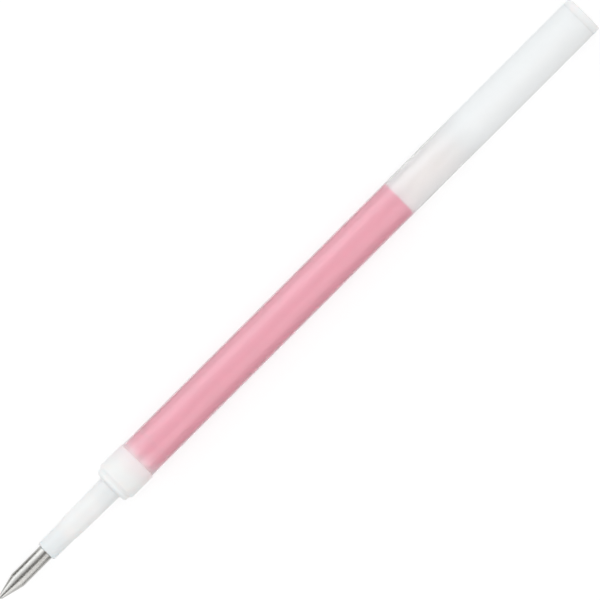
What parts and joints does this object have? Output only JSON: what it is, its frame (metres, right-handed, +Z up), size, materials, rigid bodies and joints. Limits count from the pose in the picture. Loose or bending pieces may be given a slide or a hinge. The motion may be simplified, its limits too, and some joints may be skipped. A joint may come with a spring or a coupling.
{
  "type": "gel ink pen refill",
  "caption": "Slim round pen refill: steel ball point, stepped white nozzle and collar, and a clear tube of pink gel ink with a grease follower.",
  "frame": {"origin": "middle of the refill's length, directly below its axis, on the surface that the collar rests on", "axes": "+X along the refill towards its tail, +Z up through the axis, which lies 3.03 mm above the origin"},
  "size_m": [0.111, 0.006, 0.0061],
  "materials": {
    "carbide": "polished",
    "stainless": "satin",
    "spring_wire": "satin",
    "white_plastic": "satin",
    "valve_steel": "polished",
    "seat_plastic": "satin",
    "clear_tube": "satin",
    "pink_ink": "satin",
    "grease": "gloss",
    "float_resin": "satin",
    "plug_plastic": "satin"
  },
  "bodies": {
    "refill": {"tip_body": "stainless", "tip_holder": "white_plastic", "valve_seat": "seat_plastic", "ink_tube": "clear_tube", "ink": "pink_ink", "tail_plug": "plug_plastic"},
    "point_spring": {"tip_spring": "spring_wire"},
    "point_ball": {"writing_ball": "carbide"},
    "check_valve": {"valve_ball": "valve_steel"},
    "ink_follower": {"follower": "grease", "follower_float": "float_resin"}
  },
  "joints": [
    {"name": "ball_press", "type": "slide", "parent": "refill", "child": "point_spring", "axis": [1, 0, 0], "range_m": [0, 0.00003], "stiffness_N_per_m": 400, "deforming": ["tip_spring"]},
    {"name": "ball_roll", "type": "hinge", "parent": "point_spring", "child": "point_ball", "pos_m": [-0.05525, 0, 0.00303], "axis": [0, 1, 0], "continuous": true},
    {"name": "valve_float", "type": "slide", "parent": "refill", "child": "check_valve", "axis": [-1, 0, 0], "range_m": [0, 0.0007]},
    {"name": "follower_travel", "type": "slide", "parent": "refill", "child": "ink_follower", "axis": [-1, 0, 0], "range_m": [0, 0.046], "deforming": ["ink"]}
  ]
}
